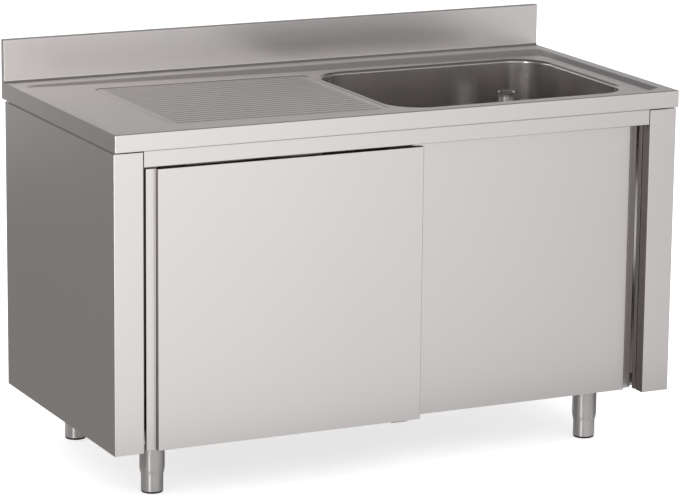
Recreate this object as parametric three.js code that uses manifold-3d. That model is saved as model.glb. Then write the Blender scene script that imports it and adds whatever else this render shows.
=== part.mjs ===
// Catering sink unit: pressed stainless worktop with a bowl on the right and a ribbed drainer on
// the left, on a folded sheet cabinet with two hanging sliding doors and four levelling feet.
// Millimetres. X runs to the right seen from the front, Y to the back, Z up. The origin is on the
// floor, under the middle of the worktop.

import * as THREE from 'three';
import { mergeVertices } from 'three/addons/utils/BufferGeometryUtils.js';
import Module from 'manifold-3d';

const wasm = await Module();
wasm.setup();

// ---- Driving dimensions ----------------------------------------------------------------------

// Worktop, with its folded apron, its raised rim and the upstand along the wall.
const WORKTOP_LENGTH = 1400;
const WORKTOP_DEPTH = 700;
const WORKTOP_HEIGHT = 850;
const WORKTOP_SHEET = 1.5;
const APRON_HEIGHT = 40;
const APRON_RETURN = 25;
const UPSTAND_HEIGHT = 100;
const UPSTAND_THICKNESS = 17;
const RIM_WIDTH = 26;
const TAP_LEDGE_DEPTH = 68;
const BOARD_THICKNESS = 26;

// Pressed recess: it falls from the left end to the bowl, with gently sloped walls.
const RECESS_DEPTH_AT_LEFT = 2.5;
const RECESS_DEPTH_AT_BOWL = 8;
const RECESS_CORNER_RADIUS = 24;
const RIM_WALL_RUN = 2.4;
const LEDGE_WALL_RUN = 8;

// Drainer: ribs along the worktop in a slightly sunk field.
const DRAINER_FROM_LEFT = 166;
const DRAINER_FROM_FRONT = 90;
const DRAINER_BREADTH = 460;
const DRAINER_CORNER_RADIUS = 22;
const DRAINER_SINK = 0.6;
const DRAINER_TO_BOWL = 14;
const RIB_MARGIN = 18;
const RIB_PITCH = 22.4;
const RIB_WIDTH = 11;
const RIB_CROWN = 5;
const RIB_HEIGHT = 2;

// Bowl.
const BOWL_LENGTH = 600;
const BOWL_BREADTH = 480;
const BOWL_DEPTH = 300;
const BOWL_FROM_RIGHT = 80.5;
const BOWL_FROM_FRONT = 75;
const BOWL_CORNER_RADIUS = 85;
const BOWL_SHEET = 1.5;
const BOWL_EDGE_ROLL = 7;
const BOWL_WELD_FLANGE = 12;
const BOWL_WALL_DRAFT = 8;
const BOWL_FLOOR_FILLET = 40;

// Waste fitting, and the overflow pipe that stands in it.
const WASTE_FROM_BOWL_RIGHT = 129.5;
const WASTE_FROM_BOWL_REAR = 107;
const WASTE_SEAT_RADIUS = 50;
const WASTE_SEAT_DEPTH = 4;
const WASTE_FLANGE_RADIUS = 43;
const WASTE_FLANGE_THICKNESS = 2;
const WASTE_THROAT_RADIUS = 24;
const WASTE_THROAT_WALL = 2;
const WASTE_THROAT_LENGTH = 26;
const GASKET_THICKNESS = 3;
const GASKET_RADIUS = 40;
const WASTE_BODY_RADIUS = 38;
const WASTE_BODY_LENGTH = 48;
const OUTLET_RADIUS = 20;
const OUTLET_LENGTH = 34;
const PIPE_RADIUS = 18;
const PIPE_WALL = 1.2;
const PIPE_RIM_RADIUS = 21;
const PIPE_TOP_BELOW_WORKTOP = 64;
const PIPE_FLARE_LENGTH = 12;
const PIPE_LIP = 1.5;
const PIPE_SEAL_THICKNESS = 10;

// Cabinet of folded sheet.
const PANEL_SHEET = 1.2;
const PANEL_END_INSET = 0.5;
const PANEL_FRONT_SETBACK = 9.2;
const PANEL_REAR_SETBACK = 21;
const CABINET_BOTTOM = 133.4;
const POST_WIDTH = 70;
const POST_RETURN = 28.5;
const PANEL_REAR_FLANGE = 26;
const PANEL_TOP_FLANGE = 24;
const JAMB_GAP = 5.5;
const JAMB_DEPTH = 14;
const SHELF_EDGE_HEIGHT = 30;
const SHELF_FRONT_SETBACK = 76;
const SHELF_STIFFENER_WIDTH = 90;
const SHELF_STIFFENER_FLANGE = 20;
const SERVICE_OPENING_WIDTH = 520;
const SERVICE_OPENING_HEIGHT = 300;
const SERVICE_OPENING_FROM_RIGHT = 140;
const SERVICE_OPENING_ABOVE_SHELF = 90;

// Top rail, which hides the door track.
const RAIL_HEIGHT = 35.5;
const RAIL_END_GAP = 1.6;
const RAIL_LIP = 5;
const RAIL_SETBACK = 1;

// Doors: the left one runs in the front track, the right one behind it.
const DOOR_THICKNESS = 18;
const DOOR_SHEET = 1.2;
const DOOR_BELOW_RAIL = 9.5;
const DOOR_BELOW_CABINET = 0.4;
const DOOR_OVERLAP = 81;
const DOOR_END_GAP = 1.5;
const FRONT_DOOR_SETBACK = 16.5;
const DOOR_TRACK_PITCH = 34;
const DOOR_GRIP_WIDTH = 24;
const DOOR_GRIP_DEPTH = 11.5;
const LEFT_DOOR_AJAR = 10.5;

// Door running gear.
const TRACK_SHEET = 1.5;
const ROLLER_RADIUS = 10;
const ROLLER_WIDTH = 7;
const ROLLER_BORE_RADIUS = 3.3;
const AXLE_RADIUS = 3;
const AXLE_HEAD_RADIUS = 4.6;
const AXLE_HEAD_THICKNESS = 1;
const HANGER_WIDTH = 60;
const HANGER_SHEET = 2;
const HANGER_FROM_DOOR_EDGE = 30;
const HANGER_FACE_SETBACK = 1.5;
const ROLLER_SIDE_GAP = 1;
const LANE_HEADROOM = 0.7;
const WEB_GAP = 1;
const STOP_HEIGHT = 16;
const STOP_CLEARANCE = 0.5;
const GUIDE_SETBACK = 9.2;
const GUIDE_SLOT_WIDTH = 7;
const GUIDE_FIN_THICKNESS = 5;
const GUIDE_FIN_LENGTH = 24;
const GUIDE_FIN_REACH = 9;
const GUIDE_WIDTH = 40;
const GUIDE_UPSTAND = 22;
const GUIDE_SHEET = 2;
const GUIDE_UNDER_DOOR = 1;

// Legs with levelling feet.
const LEG_FROM_END = 145;
const LEG_FROM_FRONT = 147;
const LEG_FROM_REAR = 82;
const LEG_PLATE_SIZE = 96;
const LEG_PLATE_THICKNESS = 3;
const LEG_RADIUS = 28.5;
const LEG_WALL = 1.5;
const LEG_NECK_RADIUS = 26.6;
const LEG_BOTTOM = 45;
const LEG_TAPER = 11;
const LEG_NECK_WALL = 1;
const NUT_THICKNESS = 14;
const NUT_BELOW_PLATE = 41;
const NUT_ABOVE_FOOT = 12;
const STUD_ABOVE_NUT = 29;
const FOOT_RADIUS = 25.2;
const FOOT_WALL = 1.5;
const STUD_RADIUS = 8;
const SOLE_RADIUS = 24.4;
const SOLE_THICKNESS = 3.7;

// Eased edges and clearances.
const EDGE_EASE = 1;
const TOUCH_GAP = 0.3;
const SEAM_GAP = 0.5;
const THREAD_GAP = 0.3;

const ROUND_SIDES = 24;
const CORNER_STEPS = 6;
const ROLLER_SIDES = 20;
const AXLE_SIDES = 16;
const OVERCUT = 1.5;

// ---- Places worked out from the dimensions above -----------------------------------------------

const LEFT = -WORKTOP_LENGTH / 2;
const RIGHT = WORKTOP_LENGTH / 2;
const FRONT = -WORKTOP_DEPTH / 2;
const BACK = WORKTOP_DEPTH / 2;
const APRON_BOTTOM = WORKTOP_HEIGHT - APRON_HEIGHT;
const UPSTAND_FACE = BACK - UPSTAND_THICKNESS;

const bowl = {
  right: RIGHT - BOWL_FROM_RIGHT,
  left: RIGHT - BOWL_FROM_RIGHT - BOWL_LENGTH,
  front: FRONT + BOWL_FROM_FRONT,
  rear: FRONT + BOWL_FROM_FRONT + BOWL_BREADTH,
  top: WORKTOP_HEIGHT - RECESS_DEPTH_AT_BOWL,
};
bowl.centreX = (bowl.left + bowl.right) / 2;
bowl.centreY = (bowl.front + bowl.rear) / 2;
bowl.floor = bowl.top - BOWL_DEPTH;

const waste = {
  x: bowl.right - WASTE_FROM_BOWL_RIGHT,
  y: bowl.rear - WASTE_FROM_BOWL_REAR,
  seat: bowl.floor - WASTE_SEAT_DEPTH,
};

const recess = {
  left: LEFT + RIM_WIDTH,
  right: RIGHT - RIM_WIDTH,
  front: FRONT + RIM_WIDTH,
  rear: BACK - TAP_LEDGE_DEPTH,
  level: bowl.left - BOWL_EDGE_ROLL - DRAINER_TO_BOWL / 2,
};

const panelTop = APRON_BOTTOM - SEAM_GAP;
const postFront = FRONT + PANEL_FRONT_SETBACK;
const postRear = postFront + POST_RETURN;
const cabinetRear = BACK - PANEL_REAR_SETBACK;
const openingHalf = RIGHT - POST_WIDTH;
const doorWidth = openingHalf - DOOR_END_GAP + DOOR_OVERLAP / 2;
const doorFace = {
  left: FRONT + FRONT_DOOR_SETBACK,
  right: FRONT + FRONT_DOOR_SETBACK + DOOR_TRACK_PITCH,
};
const railBottom = panelTop - RAIL_HEIGHT;
const doorTop = railBottom - DOOR_BELOW_RAIL;
const doorBottom = CABINET_BOTTOM - DOOR_BELOW_CABINET;
const trackTop = panelTop - PANEL_SHEET - TOUCH_GAP;
const laneTop = trackTop - TRACK_SHEET - LANE_HEADROOM - 2 * ROLLER_RADIUS - TOUCH_GAP;
const rollerHeight = laneTop + TOUCH_GAP + ROLLER_RADIUS;
const rollerSetback = HANGER_FACE_SETBACK + HANGER_SHEET + ROLLER_SIDE_GAP;
const shelfTop = CABINET_BOTTOM + SHELF_EDGE_HEIGHT;
const shelfFront = FRONT + SHELF_FRONT_SETBACK;

// ---- Shapes --------------------------------------------------------------------------------------

// A closed geometry becomes a solid. Its faces are turned outwards where they point in.
function toSolid(geometry) {
  const bare = geometry.clone();
  bare.deleteAttribute('normal');
  bare.deleteAttribute('uv');
  const merged = mergeVertices(bare, 1e-4);
  const position = merged.attributes.position;
  const index = merged.index.array;
  const corner = i => new THREE.Vector3().fromBufferAttribute(position, i);
  const triangles = [];
  let volume = 0;
  for (let i = 0; i < index.length; i += 3) {
    const [a, b, c] = [index[i], index[i + 1], index[i + 2]];
    if (a === b || b === c || c === a) continue;
    triangles.push([a, b, c]);
    volume += corner(a).dot(corner(b).cross(corner(c)));
  }
  if (volume < 0) triangles.forEach(triangle => triangle.reverse());
  return new wasm.Manifold(new wasm.Mesh({
    numProp: 3,
    vertProperties: Float32Array.from(position.array),
    triVerts: Uint32Array.from(triangles.flat()),
  }));
}

function toGeometry(solid) {
  const mesh = solid.getMesh();
  const geometry = new THREE.BufferGeometry();
  geometry.setAttribute('position', new THREE.BufferAttribute(mesh.vertProperties.slice(), 3));
  geometry.setIndex(new THREE.BufferAttribute(mesh.triVerts.slice(), 1));
  return geometry.toNonIndexed();
}

function makeMesh(name, solid, material) {
  const geometry = toGeometry(solid);
  geometry.computeVertexNormals();
  const mesh = new THREE.Mesh(geometry, material.clone());
  mesh.name = name;
  return mesh;
}

function block([x0, x1], [y0, y1], [z0, z1]) {
  const geometry = new THREE.BoxGeometry(x1 - x0, y1 - y0, z1 - z0);
  geometry.translate((x0 + x1) / 2, (y0 + y1) / 2, (z0 + z1) / 2);
  return toSolid(geometry);
}

// A plan outline of [x, y] points, pulled up from z0 to z1.
function upright(outline, z0, z1) {
  const shape = new THREE.Shape(outline.map(([x, y]) => new THREE.Vector2(x, y)));
  const geometry = new THREE.ExtrudeGeometry(shape, { depth: z1 - z0, bevelEnabled: false });
  geometry.translate(0, 0, z0);
  return toSolid(geometry);
}

// A side-view outline of [y, z] points, pulled from x0 to x1.
function lengthwise(outline, x0, x1) {
  const shape = new THREE.Shape(outline.map(([y, z]) => new THREE.Vector2(y, z)));
  const geometry = new THREE.ExtrudeGeometry(shape, { depth: x1 - x0, bevelEnabled: false });
  const axes = new THREE.Matrix4().makeBasis(
    new THREE.Vector3(0, 1, 0),
    new THREE.Vector3(0, 0, 1),
    new THREE.Vector3(1, 0, 0),
  );
  geometry.applyMatrix4(axes);
  geometry.translate(x0, 0, 0);
  return toSolid(geometry);
}

// A profile of [radius, z] points, turned about the Z axis.
function turned(profile, sides = ROUND_SIDES) {
  const points = profile.map(([radius, z]) => new THREE.Vector2(radius, z));
  const geometry = new THREE.LatheGeometry(points, sides);
  geometry.rotateX(Math.PI / 2);
  return toSolid(geometry);
}

// A ring about the Z axis, from its four corners in profile.
function ring(innerRadius, outerRadius, z0, z1, sides = ROUND_SIDES) {
  return turned([
    [innerRadius, z0],
    [outerRadius, z0],
    [outerRadius, z1],
    [innerRadius, z1],
    [innerRadius, z0],
  ], sides);
}

// A skin over rings that all have the same number of [x, y, z] points, closed at both ends.
function lofted(rings) {
  const count = rings[0].length;
  const points = rings.flat().map(p => new THREE.Vector3(...p));
  const middle = points.slice(0, count).reduce((sum, p) => sum.add(p), new THREE.Vector3());
  const last = points.slice(-count).reduce((sum, p) => sum.add(p), new THREE.Vector3());
  points.push(middle.divideScalar(count), last.divideScalar(count));
  const base = count * rings.length;
  const index = [];
  for (let i = 0; i < count; i += 1) {
    const j = (i + 1) % count;
    for (let k = 0; k < rings.length - 1; k += 1) {
      const [a, b] = [k * count + i, k * count + j];
      const [c, d] = [a + count, b + count];
      index.push(a, b, d, a, d, c);
    }
    index.push(base, j, i);
    index.push(base + 1, base - count + i, base - count + j);
  }
  const geometry = new THREE.BufferGeometry();
  geometry.setAttribute('position', new THREE.Float32BufferAttribute(
    points.flatMap(p => p.toArray()),
    3,
  ));
  geometry.setIndex(index);
  return toSolid(geometry);
}

// Folded sheet in section: a path and the same path set over to its left by the sheet.
function foldedSection(path, sheet) {
  const side = path.map(([x, y], i) => {
    const before = direction(path[Math.max(i - 1, 0)], path[Math.max(i, 1)]);
    const after = direction(path[Math.min(i, path.length - 2)], path[Math.min(i + 1, path.length - 1)]);
    const reach = sheet / (1 + before[0] * after[0] + before[1] * after[1]);
    return [x - (before[1] + after[1]) * reach, y + (before[0] + after[0]) * reach];
  });
  return [...path, ...side.reverse()];
}

function direction([x0, y0], [x1, y1]) {
  const length = Math.hypot(x1 - x0, y1 - y0);
  return [(x1 - x0) / length, (y1 - y0) / length];
}

// A quarter circle from the start angle on, counter-clockwise.
function cornerArc(centreX, centreY, radius, startAngle) {
  return Array.from({ length: CORNER_STEPS + 1 }, (_, i) => {
    const angle = startAngle + (Math.PI / 2) * (i / CORNER_STEPS);
    return [centreX + radius * Math.cos(angle), centreY + radius * Math.sin(angle)];
  });
}

// A rectangle with round corners, counter-clockwise, as [x, y] points.
function roundedOutline([x0, x1], [y0, y1], radius) {
  return [
    ...cornerArc(x1 - radius, y0 + radius, radius, -Math.PI / 2),
    ...cornerArc(x1 - radius, y1 - radius, radius, 0),
    ...cornerArc(x0 + radius, y1 - radius, radius, Math.PI / 2),
    ...cornerArc(x0 + radius, y0 + radius, radius, Math.PI),
  ];
}

const mirrored = (outline, hand) => outline.map(([x, y]) => [hand * x, y]);

// ---- Finishes --------------------------------------------------------------------------------------

const finish = (color, roughness, metalness) => (
  new THREE.MeshStandardMaterial({ color, roughness, metalness })
);
const brushedSteel = finish(0xc9c6c3, 0.38, 1);
const polishedSteel = finish(0xdededd, 0.12, 1);
const zincSteel = finish(0xb4b6b8, 0.5, 1);
const blackSteel = finish(0x2b2b2c, 0.5, 0.6);
const blackRubber = finish(0x1c1c1d, 0.85, 0);
const whiteNylon = finish(0xe8e6df, 0.55, 0);
const blackPlastic = finish(0x232324, 0.6, 0);
const underlay = finish(0xa98c66, 0.8, 0);

// ---- Worktop ---------------------------------------------------------------------------------------

function recessDepth(x) {
  const share = (x - recess.left) / (recess.level - recess.left);
  const fall = RECESS_DEPTH_AT_BOWL - RECESS_DEPTH_AT_LEFT;
  return RECESS_DEPTH_AT_LEFT + fall * Math.min(Math.max(share, 0), 1);
}

// One half of the recess outline, from the line where the halves meet, round the far corners.
// The share of depth is 0 on the rim and 1 on the floor, and the walls lean in on the way down.
// The growth sets all the walls out, for the underside of the sheet.
function recessRing(meetingX, farX, depthShare, growth, level) {
  const sign = Math.sign(farX - meetingX);
  const run = (slope, x) => slope * depthShare * recessDepth(x) - growth;
  const endX = farX - sign * run(RIM_WALL_RUN, farX);
  const frontY = x => recess.front + run(RIM_WALL_RUN, x);
  const rearY = x => recess.rear - run(LEDGE_WALL_RUN, x);
  const radius = RECESS_CORNER_RADIUS + growth;
  const arc = (centreY, startAngle) => (
    cornerArc(0, centreY, radius, startAngle).map(([x, y]) => [endX + sign * (x - radius), y])
  );
  const outline = [
    [meetingX, frontY(meetingX)],
    ...arc(frontY(endX) + radius, -Math.PI / 2),
    ...arc(rearY(endX) - radius, 0),
    [meetingX, rearY(meetingX)],
  ];
  return outline.map(([x, y]) => [x, y, level(x)]);
}

// The pressed recess as a solid: the air above the sheet, or with the sheet's growth its underside.
function recessSolid(growth) {
  const floor = x => WORKTOP_HEIGHT - recessDepth(x) - growth;
  const halves = [recess.left, recess.right].map(farX => {
    const meeting = recess.level - Math.sign(farX - recess.level) * OVERCUT;
    return lofted([
      recessRing(meeting, farX, 1, growth, floor),
      recessRing(meeting, farX, 0, growth, () => WORKTOP_HEIGHT),
      recessRing(meeting, farX, 0, growth, () => WORKTOP_HEIGHT + OVERCUT),
    ]);
  });
  return halves[0].add(halves[1]);
}

const drainer = {
  left: LEFT + DRAINER_FROM_LEFT,
  right: recess.level,
  front: FRONT + DRAINER_FROM_FRONT,
  rear: FRONT + DRAINER_FROM_FRONT + DRAINER_BREADTH,
};

function drainerField() {
  const outline = roundedOutline(
    [drainer.left, drainer.right],
    [drainer.front, drainer.rear],
    DRAINER_CORNER_RADIUS,
  );
  const under = outline.map(([x, y]) => [x, y, WORKTOP_HEIGHT - recessDepth(x) - DRAINER_SINK]);
  const over = outline.map(([x, y]) => [x, y, WORKTOP_HEIGHT + OVERCUT]);
  return lofted([under, over]);
}

function rib(y) {
  const [x0, x1] = [drainer.left + RIB_MARGIN, drainer.right - RIB_MARGIN];
  const level = (half, run, rise) => [
    [x0 + run, y - half],
    [x1 - run, y - half],
    [x1 - run, y + half],
    [x0 + run, y + half],
  ].map(([x, py]) => [x, py, WORKTOP_HEIGHT - recessDepth(x) - DRAINER_SINK + rise]);
  const root = WORKTOP_SHEET / 4;
  return lofted([
    level(RIB_WIDTH / 2, 0, -root),
    level(RIB_WIDTH / 2, 0, 0),
    level(RIB_CROWN / 2, RIB_WIDTH - RIB_CROWN, RIB_HEIGHT),
  ]);
}

function drainerRibs() {
  const span = drainer.rear - drainer.front - RIB_PITCH;
  const count = Math.floor(span / RIB_PITCH) + 1;
  const first = (drainer.front + drainer.rear) / 2 - ((count - 1) * RIB_PITCH) / 2;
  return Array.from({ length: count }, (_, i) => rib(first + i * RIB_PITCH));
}

// The bowl's outline at a distance outside its opening, which is negative inside it.
function bowlOutline(outside) {
  return roundedOutline(
    [bowl.left - outside, bowl.right + outside],
    [bowl.front - outside, bowl.rear + outside],
    BOWL_CORNER_RADIUS + outside,
  );
}

function worktopMesh() {
  const sheet = WORKTOP_SHEET;
  const inside = [[LEFT + sheet, RIGHT - sheet], [FRONT + sheet, BACK - sheet]];
  const lip = sheet + APRON_RETURN;
  const body = block([LEFT, RIGHT], [FRONT, BACK], [APRON_BOTTOM, WORKTOP_HEIGHT]);
  const upstand = block(
    [LEFT, RIGHT],
    [UPSTAND_FACE, BACK],
    [WORKTOP_HEIGHT - sheet, WORKTOP_HEIGHT + UPSTAND_HEIGHT],
  );
  const hollow = block(...inside, [APRON_BOTTOM + sheet, WORKTOP_HEIGHT - sheet]);
  const mouth = block(
    [LEFT + lip, RIGHT - lip],
    [FRONT + lip, BACK - lip],
    [APRON_BOTTOM - OVERCUT, APRON_BOTTOM + sheet + OVERCUT],
  );
  const upstandHollow = block(
    inside[0],
    [UPSTAND_FACE + sheet, BACK - sheet],
    [WORKTOP_HEIGHT - sheet - OVERCUT, WORKTOP_HEIGHT + UPSTAND_HEIGHT - sheet],
  );
  const bowlHole = upright(
    bowlOutline(BOWL_EDGE_ROLL + TOUCH_GAP),
    APRON_BOTTOM,
    WORKTOP_HEIGHT + OVERCUT,
  );
  let top = body.add(upstand).subtract(hollow.subtract(recessSolid(sheet)));
  top = top.subtract(mouth).subtract(upstandHollow).subtract(recessSolid(0));
  top = top.subtract(drainerField()).subtract(bowlHole);
  drainerRibs().forEach(solid => { top = top.add(solid); });
  return makeMesh('worktop', top, brushedSteel);
}

// Laminated board glued under the sheet, which it stiffens and quietens.
function underlayBoardMesh() {
  const margin = WORKTOP_SHEET + TOUCH_GAP;
  const bottom = APRON_BOTTOM + WORKTOP_SHEET + TOUCH_GAP;
  const sheetUnderside = WORKTOP_HEIGHT - RECESS_DEPTH_AT_BOWL - WORKTOP_SHEET - TOUCH_GAP;
  const top = Math.min(bottom + BOARD_THICKNESS, sheetUnderside);
  const board = block(
    [LEFT + margin, RIGHT - margin],
    [FRONT + margin, BACK - margin],
    [bottom, top],
  );
  const hole = upright(
    bowlOutline(BOWL_EDGE_ROLL + BOWL_WELD_FLANGE + TOUCH_GAP),
    bottom - OVERCUT,
    top + OVERCUT,
  );
  return makeMesh('underlay_board', board.subtract(hole), underlay);
}

// ---- Bowl ------------------------------------------------------------------------------------------

// Pairs of [outside, z] down one surface of the bowl: the rolled edge, the wall and the floor
// fillet. The sheet is 0 for the inner surface, and its thickness for the outer one.
function bowlProfile(sheet) {
  const rollCentre = bowl.top - BOWL_EDGE_ROLL;
  const roll = [60, 30, 0].map(degrees => {
    const angle = THREE.MathUtils.degToRad(degrees);
    const radius = BOWL_EDGE_ROLL - sheet;
    return [BOWL_EDGE_ROLL - radius * Math.cos(angle), rollCentre + radius * Math.sin(angle)];
  });
  const radius = BOWL_FLOOR_FILLET + sheet;
  const filletCentre = [-BOWL_WALL_DRAFT - BOWL_FLOOR_FILLET, bowl.floor + BOWL_FLOOR_FILLET];
  const fillet = [0, 22.5, 45, 67.5, 90].map(degrees => {
    const angle = THREE.MathUtils.degToRad(degrees);
    return [
      filletCentre[0] + radius * Math.cos(angle),
      filletCentre[1] - radius * Math.sin(angle),
    ];
  });
  return [...roll, ...fillet];
}

function bowlMesh() {
  const level = ([outside, z]) => bowlOutline(outside).map(([x, y]) => [x, y, z]);
  const flangeTop = bowl.top - WORKTOP_SHEET - TOUCH_GAP;
  const flangeOut = BOWL_EDGE_ROLL + BOWL_WELD_FLANGE;
  const outer = lofted([
    [BOWL_EDGE_ROLL, bowl.top],
    [BOWL_EDGE_ROLL, flangeTop],
    [flangeOut, flangeTop],
    [flangeOut, flangeTop - BOWL_SHEET],
    ...bowlProfile(BOWL_SHEET).slice(1),
  ].map(level));
  const inner = lofted([
    [BOWL_EDGE_ROLL - BOWL_SHEET / 2, bowl.top + OVERCUT],
    [BOWL_EDGE_ROLL - BOWL_SHEET / 2, bowl.top],
    ...bowlProfile(0),
  ].map(level));
  const seatWall = turned([
    [0, waste.seat - BOWL_SHEET],
    [WASTE_SEAT_RADIUS, waste.seat - BOWL_SHEET],
    [WASTE_SEAT_RADIUS + WASTE_SEAT_DEPTH, bowl.floor - BOWL_SHEET / 2],
    [0, bowl.floor - BOWL_SHEET / 2],
  ]).translate([waste.x, waste.y, 0]);
  const seat = turned([
    [0, waste.seat],
    [WASTE_SEAT_RADIUS - BOWL_SHEET, waste.seat],
    [WASTE_SEAT_RADIUS + WASTE_SEAT_DEPTH - BOWL_SHEET, bowl.floor + OVERCUT],
    [0, bowl.floor + OVERCUT],
  ]).translate([waste.x, waste.y, 0]);
  const hole = turned([
    [0, waste.seat - BOWL_SHEET - OVERCUT],
    [WASTE_THROAT_RADIUS + WASTE_THROAT_WALL + TOUCH_GAP, waste.seat - BOWL_SHEET - OVERCUT],
    [WASTE_THROAT_RADIUS + WASTE_THROAT_WALL + TOUCH_GAP, bowl.floor + OVERCUT],
    [0, bowl.floor + OVERCUT],
  ]).translate([waste.x, waste.y, 0]);
  const shell = outer.add(seatWall).subtract(inner).subtract(seat).subtract(hole);
  return makeMesh('sink_bowl', shell, brushedSteel);
}

// ---- Waste fitting -----------------------------------------------------------------------------------

function wasteGroup() {
  const group = new THREE.Group();
  group.position.set(waste.x, waste.y, waste.seat);
  const throat = WASTE_THROAT_RADIUS;
  const throatOut = throat + WASTE_THROAT_WALL;
  const sealSeat = -WASTE_THROAT_LENGTH / 2;
  const bore = PIPE_RADIUS - PIPE_WALL;
  const flange = turned([
    [bore, sealSeat - WASTE_THROAT_WALL],
    [throatOut, sealSeat - WASTE_THROAT_WALL],
    [throatOut, TOUCH_GAP],
    [WASTE_FLANGE_RADIUS, TOUCH_GAP],
    [WASTE_FLANGE_RADIUS - EDGE_EASE, TOUCH_GAP + WASTE_FLANGE_THICKNESS],
    [throat + WASTE_FLANGE_THICKNESS, TOUCH_GAP + WASTE_FLANGE_THICKNESS],
    [throat, TOUCH_GAP],
    [throat, sealSeat],
    [bore, sealSeat],
    [bore, sealSeat - WASTE_THROAT_WALL],
  ]);
  const gasketTop = -BOWL_SHEET - TOUCH_GAP;
  const gasket = ring(throatOut + TOUCH_GAP, GASKET_RADIUS, gasketTop - GASKET_THICKNESS, gasketTop);
  const bodyTop = gasketTop - GASKET_THICKNESS - TOUCH_GAP;
  const bodyBottom = bodyTop - WASTE_BODY_LENGTH;
  const wall = WASTE_THROAT_WALL;
  const body = turned([
    [throatOut + THREAD_GAP, bodyTop],
    [throatOut + THREAD_GAP, bodyTop - WASTE_THROAT_LENGTH / 2],
    [WASTE_BODY_RADIUS - wall, bodyTop - WASTE_THROAT_LENGTH / 2],
    [WASTE_BODY_RADIUS - wall, bodyBottom + wall],
    [OUTLET_RADIUS - wall, bodyBottom + wall],
    [OUTLET_RADIUS - wall, bodyBottom - OUTLET_LENGTH],
    [OUTLET_RADIUS, bodyBottom - OUTLET_LENGTH],
    [OUTLET_RADIUS, bodyBottom],
    [WASTE_BODY_RADIUS, bodyBottom],
    [WASTE_BODY_RADIUS, bodyTop],
    [throatOut + THREAD_GAP, bodyTop],
  ]);
  const pipeFoot = sealSeat + TOUCH_GAP;
  const pipeTop = WORKTOP_HEIGHT - PIPE_TOP_BELOW_WORKTOP - waste.seat;
  const pipe = turned([
    [bore, pipeFoot],
    [PIPE_RADIUS, pipeFoot],
    [PIPE_RADIUS, pipeTop - PIPE_FLARE_LENGTH],
    [PIPE_RIM_RADIUS, pipeTop - PIPE_LIP],
    [PIPE_RIM_RADIUS, pipeTop],
    [PIPE_RIM_RADIUS - PIPE_WALL, pipeTop],
    [bore, pipeTop - PIPE_FLARE_LENGTH],
    [bore, pipeFoot],
  ]);
  const seal = ring(
    PIPE_RADIUS + TOUCH_GAP,
    throat - TOUCH_GAP,
    pipeFoot,
    pipeFoot + PIPE_SEAL_THICKNESS,
  );
  group.add(
    makeMesh('waste_flange', flange, polishedSteel),
    makeMesh('waste_gasket', gasket, blackRubber),
    makeMesh('waste_body', body, blackPlastic),
    makeMesh('standpipe', pipe, polishedSteel),
    makeMesh('standpipe_seal', seal, blackRubber),
  );
  return group;
}

// ---- Cabinet -----------------------------------------------------------------------------------------

// Everything here is drawn for the right end, and mirrored for the left one.
function sidePanelSolid(hand) {
  const outer = RIGHT - PANEL_END_INSET;
  const section = foldedSection([
    [openingHalf, postRear],
    [openingHalf, postFront],
    [outer, postFront],
    [outer, cabinetRear],
    [outer - PANEL_REAR_FLANGE, cabinetRear],
  ], PANEL_SHEET);
  const wall = upright(mirrored(section, hand), CABINET_BOTTOM, panelTop);
  const flangeX = [hand * outer, hand * (outer - PANEL_TOP_FLANGE)].sort((a, b) => a - b);
  const flange = block(flangeX, [postFront, cabinetRear], [panelTop - PANEL_SHEET, panelTop]);
  const postCapX = [hand * outer, hand * openingHalf].sort((a, b) => a - b);
  const postCap = block(postCapX, [postFront, postRear], [panelTop - PANEL_SHEET, panelTop]);
  return wall.add(flange).add(postCap);
}

// Jamb behind the post's return: a small channel fixed to the side panel.
function jambSolid(hand) {
  const front = postRear + JAMB_GAP;
  const rear = front + JAMB_DEPTH;
  const inner = RIGHT - PANEL_END_INSET - PANEL_SHEET - TOUCH_GAP;
  const section = foldedSection([
    [inner, front],
    [inner, rear],
    [openingHalf, rear],
    [openingHalf, front],
    [openingHalf + JAMB_DEPTH, front],
  ], PANEL_SHEET);
  return upright(mirrored(section, hand), CABINET_BOTTOM, panelTop - PANEL_SHEET - TOUCH_GAP);
}

function rearPanelMesh() {
  const half = RIGHT - PANEL_END_INSET - PANEL_SHEET - TOUCH_GAP;
  const face = cabinetRear - PANEL_SHEET - TOUCH_GAP;
  const right = RIGHT - SERVICE_OPENING_FROM_RIGHT;
  const bottom = shelfTop + SERVICE_OPENING_ABOVE_SHELF;
  const sheet = block(
    [-half, half],
    [face - PANEL_SHEET, face],
    [CABINET_BOTTOM, panelTop - PANEL_SHEET - TOUCH_GAP],
  );
  const opening = block(
    [right - SERVICE_OPENING_WIDTH, right],
    [face - PANEL_SHEET - OVERCUT, face + OVERCUT],
    [bottom, bottom + SERVICE_OPENING_HEIGHT],
  );
  return makeMesh('rear_panel', sheet.subtract(opening), brushedSteel);
}

function topRailMesh() {
  const face = postFront + RAIL_SETBACK;
  const trackRear = doorFace.right + DOOR_THICKNESS;
  const half = openingHalf - RAIL_END_GAP;
  const path = [
    [face + RAIL_LIP, railBottom],
    [face, railBottom],
    [face, panelTop],
    [trackRear, panelTop],
  ];
  const rail = lengthwise(foldedSection(path, -PANEL_SHEET), -half, half);
  return makeMesh('top_rail', rail, brushedSteel);
}

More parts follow.
